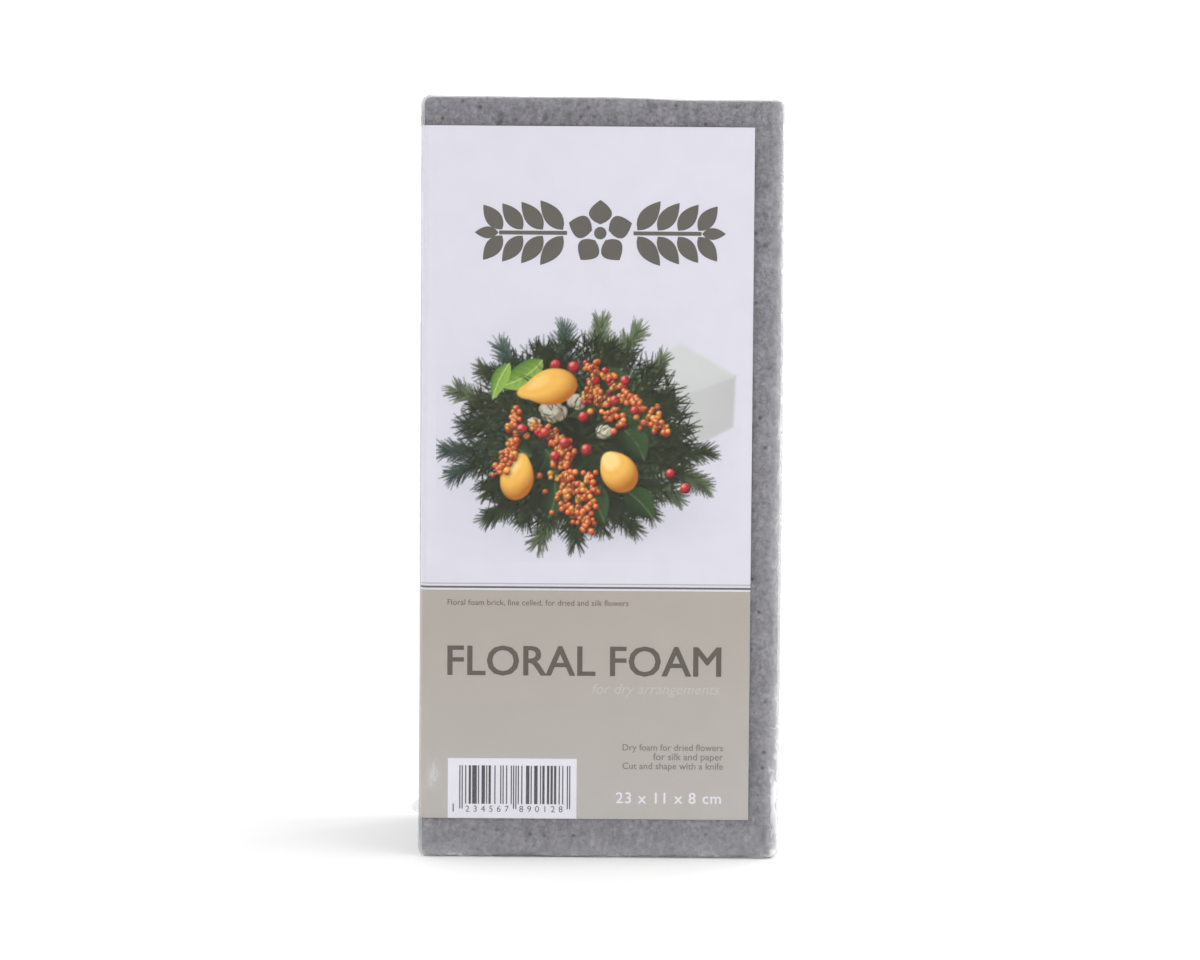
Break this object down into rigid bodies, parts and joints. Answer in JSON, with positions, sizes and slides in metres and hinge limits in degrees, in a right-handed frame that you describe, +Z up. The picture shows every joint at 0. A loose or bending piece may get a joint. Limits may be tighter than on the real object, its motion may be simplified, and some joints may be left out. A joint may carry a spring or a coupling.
{
  "type": "floral foam brick",
  "caption": "Upright rectangular brick of dry grey floral foam with a printed paper leaflet on its front, wrapped tightly in clear shrink film.",
  "frame": {"origin": "middle of the bounding box's base, the short end that the brick stands on", "axes": "+Z up along the brick's length, -Y out of the broad face that carries the leaflet, +X to the right as seen facing the leaflet"},
  "size_m": [0.1112, 0.0816, 0.2311],
  "materials": {
    "foam": "matt, fine-celled dry phenolic foam with small pits",
    "leaflet": "coated white paper, printed, with a warm grey lower panel",
    "film": "clear glossy shrink film, wrinkled at the edges"
  },
  "bodies": {
    "root": {"foam_brick": "foam", "label_insert": "leaflet", "shrink_film": "film"}
  },
  "joints": []
}
